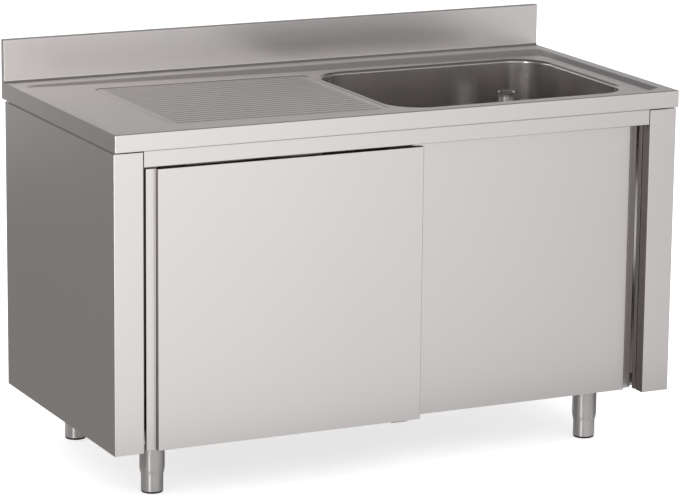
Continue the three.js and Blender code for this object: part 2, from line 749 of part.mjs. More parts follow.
// Twin track: one plate, with a hanging web and a running lip for each door.
function doorTrackMesh() {
  const half = openingHalf - RAIL_END_GAP;
  const sheet = TRACK_SHEET;
  const plateFront = doorFace.left;
  const plateRear = doorFace.right + DOOR_THICKNESS - sheet;
  let track = block([-half, half], [plateFront, plateRear], [trackTop - sheet, trackTop]);
  [doorFace.left, doorFace.right].forEach(face => {
    const lipFront = face + rollerSetback - TOUCH_GAP;
    const lipRear = lipFront + ROLLER_WIDTH + AXLE_HEAD_THICKNESS + WEB_GAP + sheet;
    const section = foldedSection([
      [lipRear, trackTop - sheet / 2],
      [lipRear, laneTop - sheet],
      [lipFront, laneTop - sheet],
    ], -sheet);
    track = track.add(lengthwise(section, -half, half));
  });
  return makeMesh('door_track', track, zincSteel);
}

// Rubber stop in a track end, in front of which the hanger comes to rest.
function trackStopMesh(name, face, hand) {
  const trackEnd = openingHalf - RAIL_END_GAP;
  const hangerEdge = openingHalf - DOOR_END_GAP - HANGER_FROM_DOOR_EDGE;
  const x = [hand * trackEnd, hand * (hangerEdge + STOP_CLEARANCE)].sort((a, b) => a - b);
  const y = [face + HANGER_FACE_SETBACK, face + rollerSetback + ROLLER_WIDTH];
  const stop = block(x, y, [laneTop + TOUCH_GAP, laneTop + STOP_HEIGHT]);
  return makeMesh(name, stop, blackRubber);
}

function bottomShelfMesh() {
  const half = RIGHT - PANEL_END_INSET - PANEL_SHEET - TOUCH_GAP;
  const rear = cabinetRear - 2 * (PANEL_SHEET + TOUCH_GAP);
  const sheet = PANEL_SHEET;
  const tray = block([-half, half], [shelfFront, rear], [CABINET_BOTTOM, shelfTop]);
  const under = block(
    [-half + sheet, half - sheet],
    [shelfFront + sheet, rear - sheet],
    [CABINET_BOTTOM - OVERCUT, shelfTop - sheet],
  );
  return makeMesh('bottom_shelf', tray.subtract(under), brushedSteel);
}

// Hat-shaped channel across the underside of the shelf.
function shelfStiffenerMesh() {
  const half = RIGHT - LEG_FROM_END - LEG_PLATE_SIZE;
  const centre = (shelfFront + cabinetRear) / 2;
  const top = shelfTop - PANEL_SHEET - TOUCH_GAP;
  const bottom = CABINET_BOTTOM + PANEL_SHEET;
  const inner = SHELF_STIFFENER_WIDTH / 2;
  const outer = inner + SHELF_STIFFENER_FLANGE;
  const path = [
    [centre - outer, top],
    [centre - inner, top],
    [centre - inner, bottom],
    [centre + inner, bottom],
    [centre + inner, top],
    [centre + outer, top],
  ];
  const section = foldedSection(path, -PANEL_SHEET);
  return makeMesh('shelf_stiffener', lengthwise(section, -half, half), zincSteel);
}

// Angle on the middle of the shelf's front edge. It carries a nylon fin for each door.
const guideTop = doorBottom - GUIDE_UNDER_DOOR;

function doorGuideMesh() {
  const front = doorFace.left + GUIDE_SETBACK - GUIDE_SLOT_WIDTH;
  const rear = shelfFront - TOUCH_GAP;
  const section = foldedSection([
    [front, guideTop - GUIDE_SHEET],
    [rear, guideTop - GUIDE_SHEET],
    [rear, guideTop + GUIDE_UPSTAND],
  ], GUIDE_SHEET);
  const angle = lengthwise(section, -GUIDE_WIDTH / 2, GUIDE_WIDTH / 2);
  return makeMesh('centre_door_guide', angle, zincSteel);
}

function guideFinMesh(name, face) {
  const centre = face + GUIDE_SETBACK;
  const fin = block(
    [-GUIDE_FIN_LENGTH / 2, GUIDE_FIN_LENGTH / 2],
    [centre - GUIDE_FIN_THICKNESS / 2, centre + GUIDE_FIN_THICKNESS / 2],
    [guideTop + TOUCH_GAP, guideTop + GUIDE_FIN_REACH],
  );
  return makeMesh(name, fin, whiteNylon);
}

// ---- Doors -------------------------------------------------------------------------------------------

// A door is drawn about its own middle with its face on Y = 0 and its grip at the right-hand edge.
// The hand is 1 for the right door and -1 for the left one, which is the mirror image.
function doorSkinMesh(name, hand) {
  const half = doorWidth / 2;
  const rear = DOOR_THICKNESS - DOOR_SHEET - TOUCH_GAP;
  const step = half - DOOR_GRIP_WIDTH;
  const path = [
    [-half, rear],
    [-half, 0],
    [step, 0],
    [step, DOOR_GRIP_DEPTH],
    [half, DOOR_GRIP_DEPTH],
    [half, rear],
  ];
  const faces = upright(mirrored(foldedSection(path, DOOR_SHEET), hand), doorBottom, doorTop);
  const plan = mirrored(path, hand);
  const top = upright(plan, doorTop - DOOR_SHEET, doorTop);
  const bottom = upright(plan, doorBottom, doorBottom + DOOR_SHEET);
  const slotX = [hand * (half - DOOR_GRIP_WIDTH - 2 * DOOR_SHEET), -hand * (half - 2 * DOOR_SHEET)];
  const slot = block(
    slotX.sort((a, b) => a - b),
    [GUIDE_SETBACK - GUIDE_SLOT_WIDTH / 2, GUIDE_SETBACK + GUIDE_SLOT_WIDTH / 2],
    [doorBottom - OVERCUT, doorBottom + DOOR_SHEET + OVERCUT],
  );
  return makeMesh(name, faces.add(top).add(bottom).subtract(slot), brushedSteel);
}

function doorLinerMesh(name) {
  const half = doorWidth / 2;
  const liner = block(
    [-half, half],
    [DOOR_THICKNESS - DOOR_SHEET, DOOR_THICKNESS],
    [doorBottom, doorTop],
  );
  return makeMesh(name, liner, brushedSteel);
}

// Angle on top of the door, with the axle that a roller turns on.
function hangerSolid(centreX) {
  const x = [centreX - HANGER_WIDTH / 2, centreX + HANGER_WIDTH / 2];
  const foot = doorTop + TOUCH_GAP;
  const front = HANGER_FACE_SETBACK;
  const plateTop = rollerHeight + ROLLER_RADIUS / 2;
  const base = block(x, [front, DOOR_THICKNESS - DOOR_SHEET], [foot, foot + HANGER_SHEET]);
  const plate = block(x, [front, front + HANGER_SHEET], [foot, plateTop]);
  const axleEnd = rollerSetback + ROLLER_WIDTH + TOUCH_GAP;
  const axle = turned([
    [0, front],
    [AXLE_RADIUS, front],
    [AXLE_RADIUS, axleEnd],
    [AXLE_HEAD_RADIUS, axleEnd],
    [AXLE_HEAD_RADIUS, axleEnd + AXLE_HEAD_THICKNESS],
    [0, axleEnd + AXLE_HEAD_THICKNESS],
  ], AXLE_SIDES);
  const turnedAxle = axle.rotate([-90, 0, 0]).translate([centreX, 0, rollerHeight]);
  return base.add(plate).add(turnedAxle);
}

function rollerMesh(name, centreX) {
  const roller = ring(ROLLER_BORE_RADIUS, ROLLER_RADIUS, 0, ROLLER_WIDTH, ROLLER_SIDES);
  const mesh = makeMesh(name, roller.rotate([-90, 0, 0]), whiteNylon);
  mesh.position.set(centreX, rollerSetback, rollerHeight);
  return mesh;
}

function doorGroup(side, hand, centreX, faceY) {
  const group = new THREE.Group();
  group.position.set(centreX, faceY, 0);
  const hangerX = doorWidth / 2 - HANGER_FROM_DOOR_EDGE - HANGER_WIDTH / 2;
  group.add(doorSkinMesh(`${side}_door_skin`, hand), doorLinerMesh(`${side}_door_liner`));
  [['outer', hand * hangerX], ['inner', -hand * hangerX]].forEach(([place, x]) => {
    group.add(
      makeMesh(`${side}_door_${place}_hanger`, hangerSolid(x), blackSteel),
      rollerMesh(`${side}_door_${place}_roller`, x),
    );
  });
  return group;
}

// ---- Legs --------------------------------------------------------------------------------------------

const legTop = shelfTop - PANEL_SHEET - TOUCH_GAP;
const legPlateBottom = legTop - LEG_PLATE_THICKNESS;

// Leg tube, necked in at the bottom and welded to its plate.
function legSolid() {
  const half = LEG_PLATE_SIZE / 2;
  const plate = block([-half, half], [-half, half], [legPlateBottom, legTop]);
  const tube = turned([
    [LEG_NECK_RADIUS - LEG_NECK_WALL, LEG_BOTTOM],
    [LEG_NECK_RADIUS, LEG_BOTTOM],
    [LEG_NECK_RADIUS, LEG_BOTTOM + LEG_TAPER / 4],
    [LEG_RADIUS, LEG_BOTTOM + LEG_TAPER],
    [LEG_RADIUS, legPlateBottom + OVERCUT],
    [LEG_RADIUS - LEG_WALL, legPlateBottom + OVERCUT],
    [LEG_RADIUS - LEG_WALL, LEG_BOTTOM + LEG_TAPER],
    [LEG_NECK_RADIUS - LEG_NECK_WALL, LEG_BOTTOM + LEG_TAPER / 4],
    [LEG_NECK_RADIUS - LEG_NECK_WALL, LEG_BOTTOM],
  ]);
  return plate.add(tube);
}

function legGroup(name, x, y) {
  const group = new THREE.Group();
  group.position.set(x, y, 0);
  const nutTop = legPlateBottom - NUT_BELOW_PLATE;
  const nutBottom = nutTop - NUT_THICKNESS;
  const footTop = nutBottom - NUT_ABOVE_FOOT;
  const nut = ring(
    STUD_RADIUS + THREAD_GAP,
    LEG_RADIUS - LEG_WALL - TOUCH_GAP,
    nutBottom,
    nutTop,
  );
  const footBottom = SOLE_THICKNESS + TOUCH_GAP;
  const studTop = nutTop + STUD_ABOVE_NUT;
  const foot = turned([
    [0, footBottom],
    [FOOT_RADIUS - EDGE_EASE, footBottom],
    [FOOT_RADIUS, footBottom + EDGE_EASE],
    [FOOT_RADIUS, footTop],
    [FOOT_RADIUS - FOOT_WALL, footTop],
    [FOOT_RADIUS - FOOT_WALL, footBottom + 2 * FOOT_WALL],
    [STUD_RADIUS, footBottom + 2 * FOOT_WALL],
    [STUD_RADIUS, studTop],
    [0, studTop],
  ]);
  const sole = turned([
    [0, 0],
    [SOLE_RADIUS - EDGE_EASE, 0],
    [SOLE_RADIUS, EDGE_EASE],
    [SOLE_RADIUS, SOLE_THICKNESS],
    [0, SOLE_THICKNESS],
  ]);
  group.add(
    makeMesh(`${name}_leg`, legSolid(), brushedSteel),
    makeMesh(`${name}_leg_nut`, nut, blackPlastic),
    makeMesh(`${name}_foot`, foot, polishedSteel),
    makeMesh(`${name}_sole`, sole, blackRubber),
  );
  return group;
}

// ---- Assembly ----------------------------------------------------------------------------------------

const sinkUnit = new THREE.Group();

sinkUnit.add(worktopMesh(), underlayBoardMesh(), bowlMesh(), wasteGroup());

sinkUnit.add(
  makeMesh('left_side_panel', sidePanelSolid(-1), brushedSteel),
  makeMesh('right_side_panel', sidePanelSolid(1), brushedSteel),
  makeMesh('left_jamb', jambSolid(-1), brushedSteel),
  makeMesh('right_jamb', jambSolid(1), brushedSteel),
  rearPanelMesh(),
  topRailMesh(),
  doorTrackMesh(),
  bottomShelfMesh(),
  shelfStiffenerMesh(),
  doorGuideMesh(),
);

[['front', doorFace.left], ['rear', doorFace.right]].forEach(([track, face]) => {
  sinkUnit.add(
    trackStopMesh(`${track}_track_left_stop`, face, -1),
    trackStopMesh(`${track}_track_right_stop`, face, 1),
    guideFinMesh(`${track}_guide_fin`, face),
  );
});

const closedCentre = openingHalf - DOOR_END_GAP - doorWidth / 2;
sinkUnit.add(
  doorGroup('left', -1, LEFT_DOOR_AJAR - closedCentre, doorFace.left),
  doorGroup('right', 1, closedCentre, doorFace.right),
);

[['front', FRONT + LEG_FROM_FRONT], ['rear', BACK - LEG_FROM_REAR]].forEach(([row, y]) => {
  sinkUnit.add(
    legGroup(`${row}_left`, LEFT + LEG_FROM_END, y),
    legGroup(`${row}_right`, RIGHT - LEG_FROM_END, y),
  );
});

export default sinkUnit;
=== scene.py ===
from math import pi, radians

import bmesh
import bpy
from mathutils import Euler, Matrix, Vector


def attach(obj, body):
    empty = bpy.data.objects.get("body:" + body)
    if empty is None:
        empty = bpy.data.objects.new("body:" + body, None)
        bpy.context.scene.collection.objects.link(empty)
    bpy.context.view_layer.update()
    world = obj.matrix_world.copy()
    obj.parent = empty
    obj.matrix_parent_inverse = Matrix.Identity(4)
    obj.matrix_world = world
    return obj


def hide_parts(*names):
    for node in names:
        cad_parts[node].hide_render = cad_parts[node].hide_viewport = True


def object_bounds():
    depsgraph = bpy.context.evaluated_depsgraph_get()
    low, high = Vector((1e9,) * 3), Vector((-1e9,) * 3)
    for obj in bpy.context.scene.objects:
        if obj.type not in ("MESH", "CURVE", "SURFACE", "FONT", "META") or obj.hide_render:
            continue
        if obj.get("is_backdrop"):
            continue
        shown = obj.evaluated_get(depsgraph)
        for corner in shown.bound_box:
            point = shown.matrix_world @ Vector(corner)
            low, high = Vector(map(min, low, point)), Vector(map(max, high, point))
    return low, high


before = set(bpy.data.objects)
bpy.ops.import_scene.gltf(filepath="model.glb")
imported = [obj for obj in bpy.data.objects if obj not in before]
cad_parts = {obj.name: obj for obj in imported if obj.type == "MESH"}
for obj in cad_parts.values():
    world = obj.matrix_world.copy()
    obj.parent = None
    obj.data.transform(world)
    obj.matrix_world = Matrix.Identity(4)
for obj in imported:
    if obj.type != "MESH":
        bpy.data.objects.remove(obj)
cad_box = [list(corner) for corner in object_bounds()]

# ---- Studio ---------------------------------------------------------------------------------
# A long lens stands off the unit's left front corner. The unit stands on white floor paper in a
# white room. Sheet steel shows what it faces: bright floor, a dimmer rear, a dark ceiling.

CAMERA_PLACE = (-3.4043, -7.0731, 2.2798)
CAMERA_DOWN, CAMERA_TURN, CAMERA_ROLL = 13.036, -25.733, 0.588
SENSOR, LENS = 36, 182.79
FLOOR_HALF = 25
PAPER_WHITE, PAPER_LIFT = (0.88, 0.88, 0.88, 1), 0.6
SOFTBOX_PLACE, SOFTBOX_TARGET = (0.6, -4.0, 3.4), (0, 0, 0.5)
SOFTBOX_SIZE, SOFTBOX_POWER = (2.4, 1.6), 22
FLAG_GREY = (0.24, 0.23, 0.226, 1)
FRONT_GLOW, FRONT_FALL = 0.745, (-0.17, -0.13, 0)
STRIP_GLOW = 8

camera_data = bpy.data.cameras.new("studio_camera")
camera_data.sensor_width = SENSOR
camera_data.lens = LENS
camera_data.clip_end = 100
camera = bpy.data.objects.new("studio_camera", camera_data)
bpy.context.scene.collection.objects.link(camera)
aim = Euler((radians(90 - CAMERA_DOWN), 0, radians(CAMERA_TURN))).to_matrix().to_4x4()
roll = Matrix.Rotation(radians(CAMERA_ROLL), 4, "Z")
camera.matrix_world = Matrix.Translation(CAMERA_PLACE) @ aim @ roll
bpy.context.scene.camera = camera
bpy.context.scene.view_settings.view_transform = "Standard"


def put_in_scene(name, bm, material):
    """Makes the object of a finished bmesh, in place, and frees the bmesh."""
    mesh = bpy.data.meshes.new(name)
    bm.to_mesh(mesh)
    bm.free()
    piece = bpy.data.objects.new(name, mesh)
    bpy.context.scene.collection.objects.link(piece)
    piece.data.materials.append(material)
    return piece


def shader(name):
    """A new material, and the tree of nodes that its shader is in."""
    material = bpy.data.materials.new(name)
    material.use_nodes = True
    return material, material.node_tree


paper, tree = shader("white_floor_paper")
matt = tree.nodes["Principled BSDF"]
matt.inputs["Base Color"].default_value = PAPER_WHITE
matt.inputs["Roughness"].default_value = 0.95
matt.inputs["Specular IOR Level"].default_value = 0.1
seen = tree.nodes.new("ShaderNodeLightPath")
lift = tree.nodes.new("ShaderNodeMath")
lift.operation = "MULTIPLY"
lift.inputs[1].default_value = PAPER_LIFT
paper_glow = tree.nodes.new("ShaderNodeEmission")
both = tree.nodes.new("ShaderNodeAddShader")
tree.links.new(seen.outputs["Is Camera Ray"], lift.inputs[0])
tree.links.new(lift.outputs[0], paper_glow.inputs["Strength"])
tree.links.new(matt.outputs[0], both.inputs[0])
tree.links.new(paper_glow.outputs[0], both.inputs[1])
tree.links.new(both.outputs[0], tree.nodes["Material Output"].inputs["Surface"])

bm = bmesh.new()
bmesh.ops.create_grid(bm, x_segments=1, y_segments=1, size=FLOOR_HALF)
put_in_scene("studio_floor", bm, paper)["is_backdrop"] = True


def fade(tree, source, start, end, before, after, curve="SMOOTHSTEP"):
    """A value that goes from before to after while the source goes from start to end."""
    ramp = tree.nodes.new("ShaderNodeMapRange")
    ramp.interpolation_type = curve
    ramp.inputs["From Min"].default_value = start
    ramp.inputs["From Max"].default_value = end
    ramp.inputs["To Min"].default_value = before
    ramp.inputs["To Max"].default_value = after
    tree.links.new(source, ramp.inputs["Value"])
    return ramp.outputs[0]


def product(tree, first, second):
    times = tree.nodes.new("ShaderNodeMath")
    times.operation = "MULTIPLY"
    tree.links.new(first, times.inputs[0])
    tree.links.new(second, times.inputs[1])
    return times.outputs[0]


def axes(tree, coordinates):
    """The X, Y and Z of a place on the surface, or of a direction in the world."""
    where = tree.nodes.new("ShaderNodeTexCoord")
    split = tree.nodes.new("ShaderNodeSeparateXYZ")
    tree.links.new(where.outputs[coordinates], split.inputs[0])
    return split.outputs


room = bpy.data.worlds.new("white_room")
room.use_nodes = True
bpy.context.scene.world = room
tree = room.node_tree
ray = tree.nodes.new("ShaderNodeLightPath")
way = axes(tree, "Generated")
rear_dim = fade(tree, way["Y"], start=-0.3, end=0.6, before=1.0, after=0.54)
ceiling_dim = fade(tree, way["Z"], start=0.22, end=0.6, before=1.0, after=0.14)
right_dim = fade(tree, way["X"], start=0.6, end=0.9, before=1.0, after=0.35)
mirrored = product(tree, product(tree, rear_dim, ceiling_dim), right_dim)
room_tone = tree.nodes.new("ShaderNodeMix")
room_tone.data_type = "RGBA"
room_tone.inputs["A"].default_value = (1, 1, 1, 1)
tree.links.new(ray.outputs["Is Glossy Ray"], room_tone.inputs["Factor"])
tree.links.new(mirrored, room_tone.inputs["B"])
tree.links.new(room_tone.outputs["Result"], tree.nodes["Background"].inputs["Color"])

softbox_lamp = bpy.data.lights.new("front_softbox", "AREA")
softbox_lamp.shape = "RECTANGLE"
softbox_lamp.size, softbox_lamp.size_y = SOFTBOX_SIZE
softbox_lamp.energy = SOFTBOX_POWER
softbox = bpy.data.objects.new("front_softbox", softbox_lamp)
bpy.context.scene.collection.objects.link(softbox)
away = Vector(SOFTBOX_PLACE) - Vector(SOFTBOX_TARGET)
turned = away.to_track_quat("Z", "Y").to_matrix().to_4x4()
softbox.matrix_world = Matrix.Translation(SOFTBOX_PLACE) @ turned


def flag(name, size, place, turn):
    """A card that only glossy steel mirrors. What comes back sets how bright it is."""
    bm = bmesh.new()
    card = bmesh.ops.create_grid(bm, x_segments=1, y_segments=1, size=0.5)["verts"]
    bmesh.ops.scale(bm, verts=card, vec=(*size, 1))
    bmesh.ops.rotate(bm, verts=card, matrix=Euler([radians(angle) for angle in turn]).to_matrix())
    bmesh.ops.translate(bm, verts=card, vec=place)
    cloth, tree = shader(name)
    shade = tree.nodes.new("ShaderNodeEmission")
    tree.links.new(shade.outputs[0], tree.nodes["Material Output"].inputs["Surface"])
    board = put_in_scene(name, bm, cloth)
    board.visible_camera = board.visible_diffuse = board.visible_shadow = False
    board.visible_transmission = False
    board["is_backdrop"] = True
    return shade, tree


# Grey cards stand and lie behind the unit to its left and right, where its side panels mirror them.
for name, size, place, turn in (
    ("left_flag", (2.6, 4.4), (-1.75, 1.6, 1.2), (0, 90, 0)),
    ("left_floor_flag", (1.04, 4.4), (-1.23, 1.6, 0.004), (0, 0, 0)),
    ("right_flag", (1.4, 4.4), (2.9, 1.6, 0.6), (0, 90, 0)),
    ("right_floor_flag", (2.2, 4.4), (1.8, 1.85, 0.004), (0, 0, 0)),
):
    shade, _ = flag(name, size, place, turn)
    shade.inputs["Color"].default_value = FLAG_GREY

# The paper in front of the doors falls off a little towards the unit and to the right.
shade, tree = flag("front_paper", (9, 7.6), (1.5, -4.17, 0.004), (0, 0, 0))
where = tree.nodes.new("ShaderNodeTexCoord")
fall = tree.nodes.new("ShaderNodeVectorMath")
fall.operation = "DOT_PRODUCT"
fall.inputs[1].default_value = FRONT_FALL
level = tree.nodes.new("ShaderNodeMath")
level.inputs[1].default_value = FRONT_GLOW
tree.links.new(where.outputs["Object"], fall.inputs[0])
tree.links.new(fall.outputs["Value"], level.inputs[0])
spot = axes(tree, "Object")
near_unit = fade(tree, spot["Y"], start=-0.95, end=-0.4, before=1.0, after=0.45)
far_right = fade(tree, spot["X"], start=1.3, end=2.4, before=1.0, after=0.92)
dimmed = product(tree, level.outputs[0], product(tree, near_unit, far_right))
tree.links.new(dimmed, shade.inputs["Strength"])

# The studio behind the camera is darker to the right and upwards, which the upstand mirrors.
shade, tree = flag("front_flag", (6, 2.6), (2.0, -3.0, 2.2), (90, 0, 0))
spot = axes(tree, "Object")
to_the_right = fade(tree, spot["X"], start=0.4, end=1.7, before=1.4, after=0.76)
upwards = fade(tree, spot["Z"], start=1.75, end=2.6, before=1.0, after=0.16)
tree.links.new(product(tree, to_the_right, upwards), shade.inputs["Strength"])

# A tall strip light at the front left draws the bright upright line on tubes and round corners.
shade, _ = flag("left_strip_light", (0.6, 3.0), (-3.1, -2.6, 1.5), (90, 0, -50))
shade.inputs["Strength"].default_value = STRIP_GLOW

# ---- Worktop --------------------------------------------------------------------------------
# One sheet of 1.5 mm satin stainless steel, folded down into an apron with a return below, and
# up into a closed upstand. The recess, the drainer's field and its ribs are pressed into it.

TOP, SHEET = 0.85, 0.0015
END, WALL = 0.7, 0.35
APRON_BOTTOM, RETURN = 0.81, 0.025
UPSTAND_FACE, UPSTAND_TOP = 0.333, 0.95
FOLD, COVE = 0.002, 0.005
RIM, LEDGE_FRONT, RECESS_CORNER = 0.026, 0.282, 0.024
# The recess is shallowest at its left end, falls towards the bowl, and is level from there on.
SHALLOW, FALL, LEVEL_FROM = 0.0025, 0.0055, 0.0055
# A wall of the recess runs this many times its depth sideways, and the ledge at the rear more.
WALL_RUN, LEDGE_RUN = 2.4, 8
# It is drawn in shares of its run, close together in the bends at its top and its foot.
WALL_STEPS, WALL_BEND = (0.04, 0.08, 0.12, 0.16, 0.5, 0.84, 0.88, 0.92, 0.96, 1), 0.16
BOWL_X, BOWL_Y, BOWL_CORNER = (0.0195, 0.6195), (-0.275, 0.205), 0.085
HOLE_MARGIN = 0.0071
# The drainer's field lies a little lower than the recess, inside a narrow pressed groove.
FIELD_X, FIELD_Y, FIELD_CORNER = (-0.534, LEVEL_FROM), (-0.26, 0.2), 0.022
FIELD_MIDDLE = (-0.25, -0.03)
GROOVE_STEP, GROOVE_DEPTH, FIELD_SUNK = 0.0016, 0.0018, 0.0009
RIBS, RIB_PITCH, RIB_HALF, RIB_ROUND = 20, 0.0224, 0.0055, 0.0052
RIB_X = (-0.516, LEVEL_FROM - 0.018)
# Each step of a rib's crown: how far in from its foot, and how high.
RIB_CROWN = ((0.001, 0.0001), (0.0021, 0.0004), (0.0032, 0.00065), (0.0043, 0.0007))


def noise(tree, place, scale, detail):
    clouds = tree.nodes.new("ShaderNodeTexNoise")
    clouds.inputs["Scale"].default_value = scale
    clouds.inputs["Detail"].default_value = detail
    tree.links.new(place, clouds.inputs["Vector"])
    return clouds.outputs["Fac"]


def uneven_tone(tree, source, colour, speck):
    """A colour that gets darker and lighter with the source, by a share of itself."""
    tones = tree.nodes.new("ShaderNodeMix")
    tones.data_type = "RGBA"
    tones.inputs["A"].default_value = (*[part * (1 - speck) for part in colour], 1)
    tones.inputs["B"].default_value = (*[min(part * (1 + speck), 1) for part in colour], 1)
    tree.links.new(source, tones.inputs["Factor"])
    return tones.outputs["Result"]


def uneven_surface(tree, source, strength, height):
    bumps = tree.nodes.new("ShaderNodeBump")
    bumps.inputs["Strength"].default_value = strength
    bumps.inputs["Distance"].default_value = height
    tree.links.new(source, bumps.inputs["Height"])
    return bumps.outputs[0]


def satin_steel(name, grain, colour=(0.72, 0.69, 0.68), roughness=0.3, scratch=0.04):
    """Satin stainless steel. The grain says how fast the brushing changes along X, Y and Z."""
    material, tree = shader(name)
    steel = tree.nodes["Principled BSDF"]
    steel.inputs["Metallic"].default_value = 1
    place = tree.nodes.new("ShaderNodeTexCoord")
    stretch = tree.nodes.new("ShaderNodeMapping")
    stretch.inputs["Scale"].default_value = grain
    tree.links.new(place.outputs["Object"], stretch.inputs["Vector"])
    strokes = noise(tree, stretch.outputs[0], scale=1, detail=5)
    clouds = noise(tree, place.outputs["Object"], scale=2.4, detail=3)
    tone = uneven_tone(tree, clouds, colour, speck=0.015)
    gloss = fade(tree, strokes, 0.3, 0.7, roughness - 0.02, roughness + 0.02, "LINEAR")
    scratches = uneven_surface(tree, strokes, scratch, height=0.0001)
    tree.links.new(tone, steel.inputs["Base Color"])
    tree.links.new(gloss, steel.inputs["Roughness"])
    tree.links.new(scratches, steel.inputs["Normal"])
    return material


steel_along = satin_steel("satin_steel_brushed_along", (4, 900, 900))
steel_upright = satin_steel("satin_steel_brushed_upright", (900, 900, 4))


def verts_in(geometry):
    return [item for item in geometry if isinstance(item, bmesh.types.BMVert)]


def rounded_plate(bm, x, y, radius, z, steps=12):
    """A flat plate with round corners, from one x and y to another, at height z."""
    corners = bmesh.ops.create_grid(bm, x_segments=1, y_segments=1, size=0.5)["verts"]
    bmesh.ops.scale(bm, verts=corners, vec=(x[1] - x[0], y[1] - y[0], 1))
    bmesh.ops.translate(bm, verts=corners, vec=((x[0] + x[1]) / 2, (y[0] + y[1]) / 2, z))
    rounded = bmesh.ops.bevel(
        bm,
        geom=corners,
        offset=radius,
        segments=steps,
        profile=0.5,
        affect="VERTICES",
        material=-1,
    )
    return rounded["verts"][0].link_faces[0]


def outline_of(bm, plate):
    """Leaves a plate's outline alone, and gives its vertices and edges."""
    verts, edges = list(plate.verts), list(plate.edges)
    bmesh.ops.delete(bm, geom=[plate], context="FACES_ONLY")
    return verts, edges


def strip_along(bm, edges):
    """Doubles an outline, with a strip in between, and gives the new vertices and edges."""
    doubled = bmesh.ops.extrude_edge_only(bm, edges=edges)["geom"]
    verts = set(verts_in(doubled))
    return verts, [
        item
        for item in doubled
        if isinstance(item, bmesh.types.BMEdge) and verts.issuperset(item.verts)
    ]


def round_edges(bm, edges, radius, segments=3):
    bmesh.ops.bevel(
        bm,
        geom=list(edges),
        offset=radius,
        segments=segments,
        profile=0.5,
        affect="EDGES",
        clamp_overlap=True,
        material=-1,
    )


def sheet_piece(name, bm, material, thickness=0.0, faces_out=None):
    """Makes a piece of sheet: its skin faces outwards and its thickness goes inwards.

    faces_out is a direction that the skin's largest face has to look in. A closed, solid piece
    needs neither.
    """
    bmesh.ops.remove_doubles(bm, verts=bm.verts, dist=1e-6)
    bmesh.ops.recalc_face_normals(bm, faces=bm.faces)
    bm.normal_update()
    if faces_out is not None:
        out = Vector(faces_out)
        broad = max(bm.faces, key=lambda face: abs(face.normal.dot(out)) * face.calc_area())
        if broad.normal.dot(out) < 0:
            bmesh.ops.reverse_faces(bm, faces=bm.faces)
    for face in bm.faces:
        face.smooth = True
    piece = put_in_scene(name, bm, material)
    piece.data.set_sharp_from_angle(angle=radians(38))
    if thickness:
        wall = piece.modifiers.new("sheet", "SOLIDIFY")
        wall.thickness = thickness
        wall.offset = -1
        wall.use_even_offset = True
    evened = piece.modifiers.new("even_shading", "WEIGHTED_NORMAL")
    evened.keep_sharp = True
    return piece


def recess_depth(x):
    """How far the recess lies below the rim."""
    left = RIM - END
    return SHALLOW + FALL * min(max((x - left) / (LEVEL_FROM - left), 0), 1)


def pressed(share):
    """The share of the depth reached at a share of the wall's run, with a bend at either end."""
    steepest = 1 / (1 - WALL_BEND)
    if share < WALL_BEND:
        return steepest * share**2 / (2 * WALL_BEND)
    if share > 1 - WALL_BEND:
        return 1 - steepest * (1 - share) ** 2 / (2 * WALL_BEND)
    return steepest * (share - WALL_BEND / 2)


# The end of the folded sheet, with the fold at the upstand's foot, is drawn out along the unit.
bm = bmesh.new()
section = [
    (-WALL, APRON_BOTTOM),
    (-WALL, TOP),
    (UPSTAND_FACE, TOP),
    (UPSTAND_FACE, UPSTAND_TOP),
    (WALL, UPSTAND_TOP),
    (WALL, APRON_BOTTOM),
]
end_face = bm.faces.new([bm.verts.new((-END, y, z)) for y, z in section])
cove = bmesh.ops.bevel(
    bm,
    geom=[end_face.verts[2]],
    offset=COVE,
    segments=5,
    profile=0.5,
    affect="VERTICES",
    material=-1,
)
end_face = cove["verts"][0].link_faces[0]
drawn = bmesh.ops.extrude_face_region(bm, geom=[end_face])["geom"]
bmesh.ops.translate(bm, verts=verts_in(drawn), vec=(2 * END, 0, 0))
bmesh.ops.recalc_face_normals(bm, faces=bm.faces)
folds = [edge for edge in bm.edges if edge.calc_face_angle() > radians(60)]
underside = min(bm.faces, key=lambda face: face.calc_center_median().z)
bmesh.ops.inset_region(bm, faces=[underside], thickness=RETURN + SHEET, use_even_offset=True)
bmesh.ops.delete(bm, geom=[underside], context="FACES")
round_edges(bm, folds, FOLD)
bm.normal_update()
rim_flat = max(
    (face for face in bm.faces if face.normal.z > 0.99 and abs(face.verts[0].co.z - TOP) < 1e-5),
    key=lambda face: face.calc_area(),
)
_, rim_flat_edges = outline_of(bm, rim_flat)

# The recess is drawn flat, and each vertex keeps how far down the press will take it.
share = bm.verts.layers.float.new("share_of_depth")
relief = bm.verts.layers.float.new("relief")
recess = rounded_plate(bm, (RIM - END, END - RIM), (RIM - WALL, LEDGE_FRONT), RECESS_CORNER, TOP)
_, wall_edges = outline_of(bm, recess)
bmesh.ops.triangle_fill(bm, use_beauty=True, edges=rim_flat_edges + wall_edges)
reached = 0
for part in WALL_STEPS:
    wall, wall_edges = strip_along(bm, wall_edges)
    for vert in wall:
        end = -END if vert.co.x < 0 else END
        vert.co.x -= (part - reached) * WALL_RUN * recess_depth(end) * end / END
        run = -LEDGE_RUN if vert.co.y > 0 else WALL_RUN
        vert.co.y += (part - reached) * run * recess_depth(vert.co.x)
        vert[share] = part
    reached = part


def bowl_outline(bm, outside, z):
    """The bowl's plan at a height, so far outside its inner edge."""
    return rounded_plate(
        bm,
        (BOWL_X[0] - outside, BOWL_X[1] + outside),
        (BOWL_Y[0] - outside, BOWL_Y[1] + outside),
        BOWL_CORNER + outside,
        z,
    )


